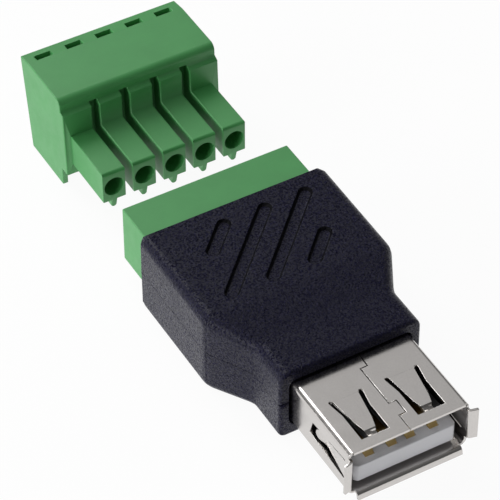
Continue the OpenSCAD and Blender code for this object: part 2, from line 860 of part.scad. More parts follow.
// Clamp cage: a square sleeve round the wire, with a threaded wall below the bar
module clamp_cage(i) color(zinc) {
    difference() {
        bar(cage_w, cage_y - cage_l / 2, cage_y + cage_l / 2, cage_z, cage_top, pole_x(i));
        bar(cage_w - 2 * cage_wall, cage_y - cage_l, cage_y + cage_l,
            cage_z + cage_nut, cage_top - cage_roof, pole_x(i));
        post(pole_x(i), cage_y, cage_z - past, bar_z + clamp_travel,
             screw_d + 2 * thread_gap);
    }
}

// Clamp screw: a slotted head below, and a shank that bears on the bar
module clamp_screw(i) color(zinc) {
    difference() {
        union() {
            post(pole_x(i), cage_y, head_z, head_top, head_d);
            post(pole_x(i), cage_y, head_top - slip, bar_z - slip, screw_d);
        }
        bar(slot_w, cage_y - head_d, cage_y + head_d, head_z - past, head_z + slot_depth,
            pole_x(i));
    }
}

upper_shell();
lower_shell();
circuit_board();
usb_shell();
usb_tongue();
for (i = [1:4]) usb_contact(i);
terminal_header();
for (i = [1:poles]) header_pin(i);
plug_body();
for (i = [1:poles]) socket_contact(i);
for (i = [1:poles]) clamp_cage(i);
for (i = [1:poles]) clamp_screw(i);
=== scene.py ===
"""Looks of a USB socket adapter with a screw terminal plug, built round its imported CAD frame."""
import functools
import math

import bmesh
import bpy
from bpy.props import FloatProperty, FloatVectorProperty, PointerProperty
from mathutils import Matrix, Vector
from mathutils.bvhtree import BVHTree


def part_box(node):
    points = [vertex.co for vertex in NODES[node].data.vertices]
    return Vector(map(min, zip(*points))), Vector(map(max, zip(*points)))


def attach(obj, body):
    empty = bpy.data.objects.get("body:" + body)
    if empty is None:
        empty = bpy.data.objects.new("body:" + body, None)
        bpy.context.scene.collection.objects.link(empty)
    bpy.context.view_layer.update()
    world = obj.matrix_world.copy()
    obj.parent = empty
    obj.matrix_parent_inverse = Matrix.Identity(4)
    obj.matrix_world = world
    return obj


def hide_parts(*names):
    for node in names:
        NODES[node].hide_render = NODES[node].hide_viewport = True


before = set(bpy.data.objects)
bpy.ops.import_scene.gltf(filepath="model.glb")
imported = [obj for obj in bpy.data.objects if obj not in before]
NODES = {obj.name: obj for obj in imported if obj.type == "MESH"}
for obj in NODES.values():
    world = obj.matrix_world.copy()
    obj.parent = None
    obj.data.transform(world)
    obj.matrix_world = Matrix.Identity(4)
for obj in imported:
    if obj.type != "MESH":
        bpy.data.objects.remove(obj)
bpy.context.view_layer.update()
MM = 0.001
POLES = range(1, 6)
LOW, HIGH = 0, 1
X, Y, Z = 0, 1, 2

# Limits used in reshaping the solids, in millimetres where they are lengths
MERGED = 0.002
SLIVER = 0.0005
LEVEL = 0.01
FLAT = math.radians(0.6)
STRAIGHT = math.radians(179.4)
CLEAR_AHEAD = 4.0
FOLD_AREA = 0.004
FOLD_TURN = -0.2
STRAY = 0.75
ROOM_USED = 0.42
EASING = (0.5, 0.5, 0.3, 0.0, 0.0)
FACES_UP = 0.99
FACES_SIDEWAYS = 0.3
OUTER = 0.9
GROOVE_LEAST = 0.05
GROOVE_REACH = 1.0
CURVE_STEPS = 4
PARTING_BAND = 0.1
NOSE_DEPTH = 0.4
NOSE_UNDER = 0.05
SKIN = 0.1
POCKET_FRONT = 1.2
POCKET_BACK = 0.3
FINGER_HALF = 1.5
LIP_REACH = 0.5
LIP_OVER = 2.0


@functools.lru_cache
def node_box(node):
    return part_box(node)


def side(node, end, axis):
    """One side of a node's box, in millimetres"""
    return node_box(node)[end][axis] / MM


def centre(node, axis):
    return (side(node, LOW, axis) + side(node, HIGH, axis)) / 2


PITCH = (centre("header_pin_5", X) - centre("header_pin_1", X)) / 4

bl_info = {
    "name": "USB Terminal Adapter",
    "version": (1, 0, 0),
    "blender": (4, 5, 0),
    "location": "View3D > Sidebar > Adapter",
    "description": "Dresses the CAD model of a USB socket adapter with a screw terminal plug",
    "category": "Object",
}


def colour(name, description, default):
    return FloatVectorProperty(name=name, description=description, default=default, size=3,
                               min=0.0, max=1.0, subtype="COLOR")


def length(name, description, default):
    return FloatProperty(name=name, description=description, default=default, min=0.0,
                         unit="LENGTH", subtype="DISTANCE", precision=6)


class AdapterEdges(bpy.types.PropertyGroup):
    """Radii of the moulded and stamped edges"""
    rim: length("Rim", "Radius of the rim round the housing's nose", 0.4 * MM)
    groove: length("Groove", "Radius of the edges of the grip grooves and openings", 0.1 * MM)
    parting: length("Parting line", "Radius of the edges where the housing's halves meet", 0.05 * MM)
    nose: length("Finger nose", "Radius round the noses of the plug's fingers", 0.35 * MM)
    terminal: length("Terminal", "Radius of the green mouldings' edges", 0.11 * MM)
    sheet: length("Sheet", "Radius of the steel shell's cut edges", 0.04 * MM)
    lip: length("Lip", "Radius of the steel shell's edges at its mouth", 0.1 * MM)
    contact: length("Contact", "Radius of the edges of the gilt contacts", 0.12 * MM)
    small: length("Small metal", "Radius of the edges of contacts, pins and cages", 0.06 * MM)
    insulator: length("Insulator", "Radius of the white insulator's edges", 0.15 * MM)


class AdapterForm(bpy.types.PropertyGroup):
    """Sizes of the forms that the scene adds to the solids"""
    taper_start: length("Taper start", "Distance of the wide housing's front behind its taper", 6.6 * MM)
    taper_end: length("Taper end", "Distance of the taper's front end", 11.3 * MM)
    crease: length("Crease", "Half the length over which the taper's two creases are softened", 0.7 * MM)
    rear_corner: length("Rear corner", "Radius of the housing's long edges at its rear face", 1.7 * MM)
    shade_start: length("Shade start", "Depth in the socket at which its shade begins", 0.8 * MM)
    shade_end: length("Shade end", "Depth in the socket at which its shade is full", 3.2 * MM)
    # The grip grooves' walls get painted shade between the next two depths, stopping short of the housing's
    # rear end and long sides by the two lengths after them
    wall_high: length("Wall top", "Depth at which a grip groove's plain wall begins", 0.02 * MM)
    wall_low: length("Wall foot", "Depth at which a grip groove's plain wall ends", 0.32 * MM)
    grooves_back: length("Grooves' back", "Plain end of the housing behind its grip grooves", 0.5 * MM)
    grooves_side: length("Grooves' sides", "Plain edges of the housing beside its grip grooves", 2.0 * MM)
    draft: length("Draft", "Slope of the grip grooves' walls, from the rim to the floor", 0.24 * MM)
    neck_w: length("Neck width", "Width of the neck before the taper", 15.6 * MM)
    neck_h: length("Neck height", "Height of the neck before the taper", 8.5 * MM)
    finger_under: length("Finger underside", "Height of the underside of the plug's fingers", 3.3 * MM)
    thread: length("Thread", "Rise of the clamp screws' thread in one turn", 0.4 * MM)
    ridge: length("Ridge", "Depth of the clamp screws' thread", 0.16 * MM)


class AdapterFinish(bpy.types.PropertyGroup):
    """Colours and textures of the materials"""
    housing: colour("Housing", "Blue-black plastic of the housing", (0.0078, 0.0074, 0.0270))
    terminal: colour("Terminal", "Green plastic of the header and the plug", (0.061, 0.290, 0.083))
    steel: colour("Shell", "Nickel plating of the USB shell", (0.60, 0.577, 0.558))
    gilt: colour("Contacts", "Gold plating of the USB contacts", (1.0, 0.72, 0.32))
    white: colour("Insulator", "White plastic of the insulator", (0.74, 0.74, 0.77))
    board: colour("Board", "Solder mask of the circuit board", (0.012, 0.075, 0.028))
    tin: colour("Tin", "Tin plating of pins and sockets", (0.72, 0.70, 0.64))
    cage: colour("Cage", "Nickel plating of the clamp cages", (0.66, 0.63, 0.56))
    zinc: colour("Screws", "Zinc plating of the clamp screws", (0.63, 0.62, 0.59))
    grain: length("Grain", "Width of the housing's moulded grain", 0.33 * MM)


class AdapterStage(bpy.types.PropertyGroup):
    """Camera and light"""
    camera_at: FloatVectorProperty(name="Camera", description="Place of the camera", size=3,
                                   default=(-0.1022675, -0.1766316, 0.2063728), subtype="TRANSLATION",
                                   unit="LENGTH")
    camera_turn: FloatVectorProperty(name="Camera turn", description="Rotation of the camera", size=3,
                                     default=(0.801613, 0.001522, -0.522365), subtype="EULER")
    lens: FloatProperty(name="Lens", description="Focal length in millimetres", default=209.787, min=1.0)
    shift: FloatVectorProperty(name="Shift", description="Shift of the camera's frame", size=2,
                               default=(-0.013226, -0.009348))
    sky: FloatProperty(name="Sky", description="Level of the soft light from above", default=0.62, min=0.0)
    dusk: FloatProperty(name="Dusk", description="Level of the light from low down", default=0.08, min=0.0)
    key: FloatProperty(name="Key", description="Power of the lamp above and behind", default=1.3, min=0.0,
                       unit="POWER")
    key_at: FloatVectorProperty(name="Key place", description="Place of the lamp above and behind", size=3,
                                default=(-0.06, 0.36, 0.34), subtype="TRANSLATION", unit="LENGTH")
    key_size: length("Key size", "Width of the lamp above and behind", 0.30)
    side: FloatProperty(name="Side", description="Power of the lamp on the left", default=2.2, min=0.0,
                        unit="POWER")
    side_at: FloatVectorProperty(name="Side place", description="Place of the lamp on the left", size=3,
                                 default=(-0.45, 0.02, 0.09), subtype="TRANSLATION", unit="LENGTH")
    side_size: length("Side size", "Width of the lamp on the left", 0.34)
    table: FloatProperty(name="Table", description="Share of the floor that is a white light table",
                         default=0.94, min=0.0, max=1.0, subtype="FACTOR")


class AdapterSettings(bpy.types.PropertyGroup):
    """All settings of the adapter"""
    edges: PointerProperty(type=AdapterEdges, name="Edges", description="Edge radii")
    form: PointerProperty(type=AdapterForm, name="Form", description="Forms added to the solids")
    finish: PointerProperty(type=AdapterFinish, name="Finish", description="Colours and textures")
    stage: PointerProperty(type=AdapterStage, name="Stage", description="Camera and light")


def settings():
    return bpy.context.scene.adapter


# Shader node groups

def group_tree(name, inputs, outputs):
    tree = bpy.data.node_groups.new(name, "ShaderNodeTree")
    for label, kind, value in inputs:
        socket = tree.interface.new_socket(label, in_out="INPUT", socket_type=kind)
        if value is not None:
            socket.default_value = value
    for label, kind in outputs:
        tree.interface.new_socket(label, in_out="OUTPUT", socket_type=kind)
    return tree, tree.nodes.new("NodeGroupInput"), tree.nodes.new("NodeGroupOutput")


def add_node(tree, kind, links=None, **values):
    """A node with its properties set and its sockets linked or filled by name or number"""
    node = tree.nodes.new(kind)
    for key, value in values.items():
        setattr(node, key, value)
    for key, value in (links or {}).items():
        socket = node.inputs[key]
        if isinstance(value, bpy.types.NodeSocket):
            tree.links.new(value, socket)
        else:
            socket.default_value = value
    return node


def math_node(tree, operation, a, b=0.0):
    return add_node(tree, "ShaderNodeMath", {0: a, 1: b}, operation=operation).outputs[0]


def moulded_grain():
    """Spark-eroded mould texture: the height of its rounded bumps, its tone and its glossy specks"""
    if "moulded_grain" in bpy.data.node_groups:
        return bpy.data.node_groups["moulded_grain"]
    tree, given, result = group_tree(
        "moulded_grain",
        [("Vector", "NodeSocketVector", None), ("Width", "NodeSocketFloat", 0.0003),
         ("Fine", "NodeSocketFloat", 0.6)],
        [("Height", "NodeSocketFloat"), ("Tone", "NodeSocketFloat"), ("Specks", "NodeSocketFloat")])
    scale = math_node(tree, "DIVIDE", 1.0, given.outputs["Width"])
    warp = add_node(tree, "ShaderNodeTexNoise", {"Vector": given.outputs["Vector"], "Scale": scale,
                                                 "Detail": 1.0})
    moved = add_node(tree, "ShaderNodeVectorMath", {0: warp.outputs["Color"], "Scale": 0.00012},
                     operation="SCALE")
    place = add_node(tree, "ShaderNodeVectorMath", {0: given.outputs["Vector"], 1: moved.outputs[0]},
                     operation="ADD")
    cells = add_node(tree, "ShaderNodeTexVoronoi", {"Vector": place.outputs[0], "Scale": scale,
                                                    "Smoothness": 0.7}, feature="SMOOTH_F1")
    fine = add_node(tree, "ShaderNodeTexNoise", {"Vector": given.outputs["Vector"],
                                                 "Scale": math_node(tree, "MULTIPLY", scale, 2.0),
                                                 "Detail": 2.0, "Roughness": 0.6})
    domes = math_node(tree, "SUBTRACT", 1.0, cells.outputs["Distance"])
    height = math_node(tree, "ADD", math_node(tree, "MULTIPLY", domes, 0.55),
                       math_node(tree, "MULTIPLY", fine.outputs["Fac"], given.outputs["Fine"]))
    tree.links.new(height, result.inputs["Height"])
    tree.links.new(fine.outputs["Fac"], result.inputs["Tone"])
    specks = add_node(tree, "ShaderNodeTexNoise", {"Vector": given.outputs["Vector"],
                                                   "Scale": math_node(tree, "MULTIPLY", scale, 1.7),
                                                   "Detail": 1.0})
    tree.links.new(specks.outputs["Fac"], result.inputs["Specks"])
    return tree


def cloudy_tone():
    """Slow change of tone over a moulding or a sheet"""
    if "cloudy_tone" in bpy.data.node_groups:
        return bpy.data.node_groups["cloudy_tone"]
    tree, given, result = group_tree(
        "cloudy_tone",
        [("Vector", "NodeSocketVector", None), ("Width", "NodeSocketFloat", 0.004),
         ("Low", "NodeSocketFloat", 0.4), ("High", "NodeSocketFloat", 0.6)],
        [("Value", "NodeSocketFloat")])
    scale = math_node(tree, "DIVIDE", 1.0, given.outputs["Width"])
    noise = add_node(tree, "ShaderNodeTexNoise", {"Vector": given.outputs["Vector"], "Scale": scale,
                                                  "Detail": 4.0, "Roughness": 0.6})
    ranged = add_node(tree, "ShaderNodeMapRange", {"Value": noise.outputs["Fac"], "From Min": 0.3,
                                                   "From Max": 0.7, "To Min": given.outputs["Low"],
                                                   "To Max": given.outputs["High"]})
    tree.links.new(ranged.outputs[0], result.inputs["Value"])
    return tree


def plated_speckle():
    """Fine pits and faint drawn lines of plated sheet"""
    if "plated_speckle" in bpy.data.node_groups:
        return bpy.data.node_groups["plated_speckle"]
    tree, given, result = group_tree(
        "plated_speckle",
        [("Vector", "NodeSocketVector", None), ("Width", "NodeSocketFloat", 0.00015)],
        [("Height", "NodeSocketFloat"), ("Tone", "NodeSocketFloat")])
    scale = math_node(tree, "DIVIDE", 1.0, given.outputs["Width"])
    pits = add_node(tree, "ShaderNodeTexNoise", {"Vector": given.outputs["Vector"], "Scale": scale,
                                                 "Detail": 2.0, "Roughness": 0.65})
    drawn = add_node(tree, "ShaderNodeMapping", {"Vector": given.outputs["Vector"],
                                                 "Scale": (1.0, 0.06, 1.0)})
    lines = add_node(tree, "ShaderNodeTexNoise", {"Vector": drawn.outputs[0], "Scale": scale,
                                                  "Detail": 1.0})
    height = math_node(tree, "ADD", math_node(tree, "MULTIPLY", pits.outputs["Fac"], 0.7),
                       math_node(tree, "MULTIPLY", lines.outputs["Fac"], 0.3))
    tree.links.new(height, result.inputs["Height"])
    tree.links.new(pits.outputs["Fac"], result.inputs["Tone"])
    return tree


def socket_shade():
    """Fades from one at the socket's mouth to nothing deep inside it"""
    if "socket_shade" in bpy.data.node_groups:
        return bpy.data.node_groups["socket_shade"]
    tree, given, result = group_tree(
        "socket_shade",
        [("Vector", "NodeSocketVector", None), ("Start", "NodeSocketFloat", 0.0),
         ("End", "NodeSocketFloat", 0.003)],
        [("Light", "NodeSocketFloat")])
    place = add_node(tree, "ShaderNodeSeparateXYZ", {0: given.outputs["Vector"]})
    fade = add_node(tree, "ShaderNodeMapRange", {
        "Value": place.outputs["Y"], "From Min": given.outputs["Start"], "From Max": given.outputs["End"],
        "To Min": 1.0, "To Max": 0.0}, interpolation_type="SMOOTHSTEP")
    tree.links.new(fade.outputs[0], result.inputs["Light"])
    return tree


def groove_wall_shade():
    """Marks the walls of the grip grooves, between the housing's top and the grooves' floors, where shade is
    painted into the housing's colour
    """
    if "groove_wall_shade" in bpy.data.node_groups:
        return bpy.data.node_groups["groove_wall_shade"]
    tree, given, result = group_tree(
        "groove_wall_shade",
        [("Vector", "NodeSocketVector", None)]
        + [(limit, "NodeSocketFloat", 0.0) for limit in ("Floor", "Rim", "Front", "Back", "Side")],
        [("Wall", "NodeSocketFloat"), ("Face", "NodeSocketFloat")])
    place = add_node(tree, "ShaderNodeSeparateXYZ", {0: given.outputs["Vector"]})
    across = math_node(tree, "ABSOLUTE", place.outputs["X"])
    wall = math_node(tree, "LESS_THAN", across, given.outputs["Side"])
    for axis, test, limit in (("Y", "GREATER_THAN", "Front"), ("Y", "LESS_THAN", "Back"),
                              ("Z", "GREATER_THAN", "Floor"), ("Z", "LESS_THAN", "Rim")):
        wall = math_node(tree, "MULTIPLY", wall,
                         math_node(tree, test, place.outputs[axis], given.outputs[limit]))
    tree.links.new(wall, result.inputs["Wall"])
    tree.links.new(math_node(tree, "SUBTRACT", 1.0, wall), result.inputs["Face"])
    return tree


# Materials

def place_group(tree, group, links):
    return add_node(tree, "ShaderNodeGroup", links, node_tree=group)


def colour_mix(tree, factor, one, other):
    """Mix of two colours, each a list or a socket"""
    mix = add_node(tree, "ShaderNodeMix", {"Factor": factor, "A": one, "B": other}, data_type="RGBA")
    return mix.outputs["Result"]


def blank_material(name):
    material = bpy.data.materials.new(name)
    material.use_nodes = True
    tree = material.node_tree
    tree.nodes.clear()
    end = tree.nodes.new("ShaderNodeOutputMaterial")
    shader = tree.nodes.new("ShaderNodeBsdfPrincipled")
    tree.links.new(shader.outputs[0], end.inputs[0])
    where = tree.nodes.new("ShaderNodeTexCoord").outputs["Object"]
    return material, tree, shader, where


def two_tones(tree, factor, tone, spread):
    """Colour that wanders a little to both sides of a tone"""
    dark = [c * (1.0 - spread) for c in tone] + [1.0]
    light = [min(1.0, c * (1.0 + spread)) for c in tone] + [1.0]
    return colour_mix(tree, factor, dark, light)


def bump(tree, shader, height, distance, strength=1.0):
    node = add_node(tree, "ShaderNodeBump", {"Height": height, "Distance": distance, "Strength": strength})
    tree.links.new(node.outputs[0], shader.inputs["Normal"])


def housing_plastic():
    """Blue-black plastic with the coarse grain of an eroded mould, and painted shade on the walls of its grip
    grooves
    """
    finish, form = settings().finish, settings().form
    material, tree, shader, where = blank_material("housing_plastic")
    grain = place_group(tree, moulded_grain(), {"Vector": where, "Width": finish.grain, "Fine": 1.0})
    rough = place_group(tree, cloudy_tone(), {"Vector": where, "Width": 0.003, "Low": 0.22, "High": 0.30})
    specks = add_node(tree, "ShaderNodeMapRange", {"Value": grain.outputs["Tone"], "From Min": 0.48,
                                                   "From Max": 0.66})
    right, back, top = node_box("upper_shell")[HIGH]
    walls = place_group(tree, groove_wall_shade(), {
        "Vector": where, "Floor": top - form.wall_low, "Rim": top - form.wall_high,
        "Front": form.crease - form.taper_start, "Back": back - form.grooves_back,
        "Side": right - form.grooves_side})
    grained = two_tones(tree, specks.outputs[0], finish.housing, 0.4)
    # Painted shade: the grip grooves' walls get a tenth of the housing's colour, so they darken as if in
    # shadow
    plain = [c * 0.1 for c in finish.housing] + [1.0]
    tree.links.new(colour_mix(tree, walls.outputs["Wall"], grained, plain), shader.inputs["Base Color"])
    tree.links.new(rough.outputs[0], shader.inputs["Roughness"])
    gloss = add_node(tree, "ShaderNodeMapRange", {"Value": grain.outputs["Specks"], "From Min": 0.40,
                                                  "From Max": 0.56})
    # The grooves' walls also lose the coat's glossy specks, which deepens their painted shade
    tree.links.new(math_node(tree, "MULTIPLY", gloss.outputs[0], walls.outputs["Face"]),
                   shader.inputs["Coat Weight"])
    shader.inputs["Coat IOR"].default_value = 1.24
    shader.inputs["Coat Roughness"].default_value = 0.42
    shader.inputs["Specular IOR Level"].default_value = 0.08
    bump(tree, shader, grain.outputs["Height"], 0.00023)
    return material


def terminal_plastic():
    finish = settings().finish
    material, tree, shader, where = blank_material("terminal_plastic")
    tone = place_group(tree, cloudy_tone(), {"Vector": where, "Width": 0.004, "Low": 0.3, "High": 0.7})
    rough = place_group(tree, cloudy_tone(), {"Vector": where, "Width": 0.0012, "Low": 0.36, "High": 0.46})
    grain = place_group(tree, moulded_grain(), {"Vector": where, "Width": 0.0002})
    tree.links.new(two_tones(tree, tone.outputs[0], finish.terminal, 0.12), shader.inputs["Base Color"])
    tree.links.new(rough.outputs[0], shader.inputs["Roughness"])
    bump(tree, shader, grain.outputs["Height"], 0.000006)
    return material


def plated_metal(name, tone, low, high, depth, spread, shaded=False):
    material, tree, shader, where = blank_material(name)
    speckle = place_group(tree, plated_speckle(), {"Vector": where})
    rough = place_group(tree, cloudy_tone(), {"Vector": where, "Width": 0.0015, "Low": low, "High": high})
    tree.links.new(two_tones(tree, speckle.outputs["Tone"], tone, spread), shader.inputs["Base Color"])
    tree.links.new(rough.outputs[0], shader.inputs["Roughness"])
    shader.inputs["Metallic"].default_value = 1.0
    bump(tree, shader, speckle.outputs["Height"], depth)
    if shaded:
        shade_inside(tree, shader, where, tone)
    return material


def shade_inside(tree, shader, where, tone):
    """Darkens a material's colour towards the inside of the USB socket"""
    front = node_box("usb_tongue")[LOW][Y]
    inside = place_group(tree, socket_shade(), {"Vector": where, "Start": front + settings().form.shade_start,
                                                "End": front + settings().form.shade_end})
    deep = [c * c * 0.06 for c in tone] + [1.0]
    lit = shader.inputs["Base Color"].links[0].from_socket
    tree.links.new(colour_mix(tree, inside.outputs["Light"], deep, lit), shader.inputs["Base Color"])


def plain_moulding(name, tone, low, high, shaded=False):
    material, tree, shader, where = blank_material(name)
    cloud = place_group(tree, cloudy_tone(), {"Vector": where, "Width": 0.003, "Low": 0.3, "High": 0.7})
    rough = place_group(tree, cloudy_tone(), {"Vector": where, "Width": 0.001, "Low": low, "High": high})
    grain = place_group(tree, moulded_grain(), {"Vector": where, "Width": 0.0002})
    tree.links.new(two_tones(tree, cloud.outputs[0], tone, 0.06), shader.inputs["Base Color"])
    tree.links.new(rough.outputs[0], shader.inputs["Roughness"])
    bump(tree, shader, grain.outputs["Height"], 0.000004)
    if shaded:
        shade_inside(tree, shader, where, tone)
    return material


# Geometry node trees

def geometry_tree(name, inputs):
    tree = bpy.data.node_groups.new(name, "GeometryNodeTree")
    tree.interface.new_socket("Geometry", in_out="OUTPUT", socket_type="NodeSocketGeometry")
    for label, kind in inputs:
        tree.interface.new_socket(label, in_out="INPUT", socket_type=kind)
    return tree, tree.nodes.new("NodeGroupInput"), tree.nodes.new("NodeGroupOutput")


def end_tree(tree, given, result, shape):
    """Realizes a tree's instances and gives them their material"""
    real = add_node(tree, "GeometryNodeRealizeInstances", {"Geometry": shape})
    dressed = add_node(tree, "GeometryNodeSetMaterial", {"Geometry": real.outputs[0],
                                                         "Material": given.outputs["Material"]})
    tree.links.new(dressed.outputs[0], result.inputs["Geometry"])


def row_tree():
    """Copies of a piece in an even row along X, centred on the piece"""
    if "row_of_pieces" in bpy.data.node_groups:
        return bpy.data.node_groups["row_of_pieces"]
    tree, given, result = geometry_tree("row_of_pieces", (
        ("Geometry", "NodeSocketGeometry"), ("Count", "NodeSocketInt"),
        ("Spacing", "NodeSocketFloat"), ("Material", "NodeSocketMaterial")))
    reach = math_node(tree, "MULTIPLY", math_node(tree, "SUBTRACT", given.outputs["Count"], 1.0),
                      given.outputs["Spacing"])
    start = add_node(tree, "ShaderNodeCombineXYZ", {"X": math_node(tree, "MULTIPLY", reach, -0.5)})
    step = add_node(tree, "ShaderNodeCombineXYZ", {"X": given.outputs["Spacing"]})
    line = add_node(tree, "GeometryNodeMeshLine", {"Count": given.outputs["Count"],
                                                   "Start Location": start.outputs[0],
                                                   "Offset": step.outputs[0]}, mode="OFFSET")
    copies = add_node(tree, "GeometryNodeInstanceOnPoints", {"Points": line.outputs[0],
                                                             "Instance": given.outputs["Geometry"]})
    end_tree(tree, given, result, copies.outputs[0])
    return tree


def thread_tree():
    """A screw's thread: a pointed ridge on a rising spiral, joined to the screw that it is given"""
    if "screw_thread" in bpy.data.node_groups:
        return bpy.data.node_groups["screw_thread"]
    tree, given, result = geometry_tree("screw_thread", (
        ("Geometry", "NodeSocketGeometry"), ("Place", "NodeSocketVector"), ("Radius", "NodeSocketFloat"),
        ("Height", "NodeSocketFloat"), ("Rise", "NodeSocketFloat"), ("Ridge", "NodeSocketFloat"),
        ("Material", "NodeSocketMaterial")))
    turns = math_node(tree, "DIVIDE", given.outputs["Height"], given.outputs["Rise"])
    spiral = add_node(tree, "GeometryNodeCurveSpiral", {
        "Resolution": 20, "Rotations": turns, "Start Radius": given.outputs["Radius"],
        "End Radius": given.outputs["Radius"], "Height": given.outputs["Height"]})
    upright = add_node(tree, "GeometryNodeSetCurveNormal", {"Curve": spiral.outputs[0]}, mode="Z_UP")
    ridge = add_node(tree, "GeometryNodeCurvePrimitiveCircle", {"Resolution": 4,
                                                                "Radius": given.outputs["Ridge"]})
    swept = add_node(tree, "GeometryNodeCurveToMesh", {"Curve": upright.outputs[0],
                                                       "Profile Curve": ridge.outputs[0], "Fill Caps": True})
    placed = add_node(tree, "GeometryNodeTransform", {"Geometry": swept.outputs[0],
                                                      "Translation": given.outputs["Place"]})
    both = tree.nodes.new("GeometryNodeJoinGeometry")
    tree.links.new(given.outputs["Geometry"], both.inputs[0])
    tree.links.new(placed.outputs[0], both.inputs[0])
    end_tree(tree, given, result, both.outputs[0])
    return tree


def grown(mesh, tree, values):
    """The plain mesh that a node tree makes of a mesh"""
    piece = bpy.data.objects.new("grown", mesh)
    bpy.context.scene.collection.objects.link(piece)
    modifier = piece.modifiers.new(tree.name, "NODES")
    modifier.node_group = tree
    for item in tree.interface.items_tree:
        if item.in_out == "INPUT" and item.name in values:
            modifier[item.identifier] = values[item.name]
    made = bpy.data.meshes.new_from_object(piece.evaluated_get(bpy.context.evaluated_depsgraph_get()))
    bpy.data.objects.remove(piece)
    return made


# Meshes

def cad_copy(node, reshape=None):
    """A copy of a CAD node's mesh in millimetres, reshaped, with its triangles merged into faces"""
    bm = bmesh.new()
    bm.from_mesh(NODES[node].data)
    bmesh.ops.scale(bm, vec=(1 / MM,) * 3, verts=bm.verts)
    bmesh.ops.remove_doubles(bm, verts=bm.verts, dist=MERGED)
    if reshape:
        reshape(bm)
    for turn in range(3):
        bmesh.ops.dissolve_degenerate(bm, dist=SLIVER, edges=bm.edges)
    join_flats(bm)
    return bm


def flat_edges(bm):
    return [e for e in bm.edges if len(e.link_faces) == 2 and e.calc_face_angle(1.0) < FLAT]


def least_angle(edge, flats):
    """Least angle between a dividing line and the true edges at its ends"""
    least = math.pi
    for vert in edge.verts:
        along = edge.other_vert(vert).co - vert.co
        for near in vert.link_edges:
            if near not in flats:
                least = min(least, along.angle(near.other_vert(vert).co - vert.co, math.pi))
    return least


def straight(vert, flats):
    """Whether a corner lies part of the way along a straight edge"""
    true = [edge.other_vert(vert).co - vert.co for edge in vert.link_edges if edge not in flats]
    return len(true) == 2 and true[0].angle(true[1], 0.0) > STRAIGHT


def join_flats(bm):
    """Joins the triangles of flat faces

    The lines between them that end part of the way along an edge go first, and then those that lie
    closest to an edge, because a bevel strays along such lines.
    """
    flats = set(flat_edges(bm))
    bmesh.ops.dissolve_verts(bm, verts=[v for v in bm.verts if flats.issuperset(v.link_edges)])
    bmesh.ops.triangulate(bm, faces=bm.faces[:])
    bmesh.ops.beautify_fill(bm, faces=bm.faces[:], edges=flat_edges(bm), method="ANGLE")
    lines = flat_edges(bm)
    flats = set(lines)
    needless = {vert for line in lines for vert in line.verts if straight(vert, flats)}
    lines.sort(key=lambda line: (needless.isdisjoint(line.verts), least_angle(line, flats)))
    left = len(lines) + 1
    while len(lines) < left:
        left = len(lines)
        for line in lines:
            if not line.is_valid:
                continue
            one, other = line.link_faces
            shared = set(one.edges) & set(other.edges)
            if len(set(one.verts) & set(other.verts)) == len(shared) + 1:
                bmesh.utils.face_join((one, other))
        lines = [line for line in lines if line.is_valid]
    flats = set(lines)
    bmesh.ops.dissolve_verts(bm, verts=[v for v in bm.verts if len(v.link_edges) == 2 and straight(v, flats)])


def room(edge):
    """How far the faces beside an edge reach from its two ends, where they turn away from it"""
    least = 100.0
    for face in edge.link_faces:
        for vert in edge.verts:
            along = (edge.other_vert(vert).co - vert.co).normalized()
            for near in vert.link_edges:
                if near is not edge and face in near.link_faces:
                    away = near.other_vert(vert).co - vert.co
                    across = (away - along * away.dot(along)).length
                    if away.dot(along) > 0.0 or across > 0.5 * away.length:
                        least = min(least, across)
    return least


def in_the_open(edge, solid):
    """Whether nothing of the solid lies close before an edge"""
    out = (edge.link_faces[0].normal + edge.link_faces[1].normal).normalized()
    middle = (edge.verts[0].co + edge.verts[1].co) / 2
    return solid.ray_cast(middle + out * MERGED, out, CLEAR_AHEAD)[0] is None


def bevelled(bm, radius, segments):
    """The mesh that a bevel makes, by the weights on the edges"""
    mesh = bpy.data.meshes.new("rounded")
    bm.to_mesh(mesh)
    piece = bpy.data.objects.new("rounded", mesh)
    bpy.context.scene.collection.objects.link(piece)
    bevel = piece.modifiers.new("rounding", "BEVEL")
    bevel.width = radius
    bevel.segments = segments
    bevel.limit_method = "WEIGHT"
    bevel.use_clamp_overlap = False
    bevel.loop_slide = False
    made = bpy.data.meshes.new_from_object(piece.evaluated_get(bpy.context.evaluated_depsgraph_get()))
    bpy.data.objects.remove(piece)
    bpy.data.meshes.remove(mesh)
    return made


def spoilt_places(mesh, solid, reach):
    """Places where a rounded mesh leaves the solid that it was made from, or folds over"""
    away = [solid.find_nearest(vert.co)[3] for vert in mesh.vertices]
    mesh.calc_loop_triangles()
    places = []
    for part in mesh.loop_triangles:
        corners = [mesh.vertices[i].co for i in part.vertices]
        spot, normal, index, gap = solid.find_nearest((corners[0] + corners[1] + corners[2]) / 3)
        folded = part.area > FOLD_AREA and part.normal.dot(normal) < FOLD_TURN
        if folded or max(gap, *(away[i] for i in part.vertices)) > reach:
            places += [co for co, i in zip(corners, part.vertices) if away[i] <= reach]
    return places


def rounded(bm, radius, segments=3, above=28.0, wanted=None):
    """The mesh with its sharp edges rounded, by less where the faces beside them are narrow

    What is wanted gives each edge its own radius, up to the largest one.
    """
    weight = bm.edges.layers.float.new("bevel_weight_edge")
    solid = BVHTree.FromBMesh(bm)
    for edge in bm.edges:
        if len(edge.link_faces) == 2 and edge.calc_face_angle(0.0) > math.radians(above):
            if edge.is_convex and in_the_open(edge, solid):
                own = wanted(edge) if wanted else radius
                edge[weight] = min(own, ROOM_USED * room(edge)) / radius
    made = bevelled(bm, radius, segments)
    for ease in EASING:
        places = spoilt_places(made, solid, STRAY * radius)
        if not places:
            break
        for edge in bm.edges:
            if edge[weight] and any(apart(place, edge) < radius for place in places):
                edge[weight] *= ease
        made = bevelled(bm, radius, segments)
    bm.free()
    made.transform([[MM, 0, 0, 0], [0, MM, 0, 0], [0, 0, MM, 0], [0, 0, 0, 1]])
    return made


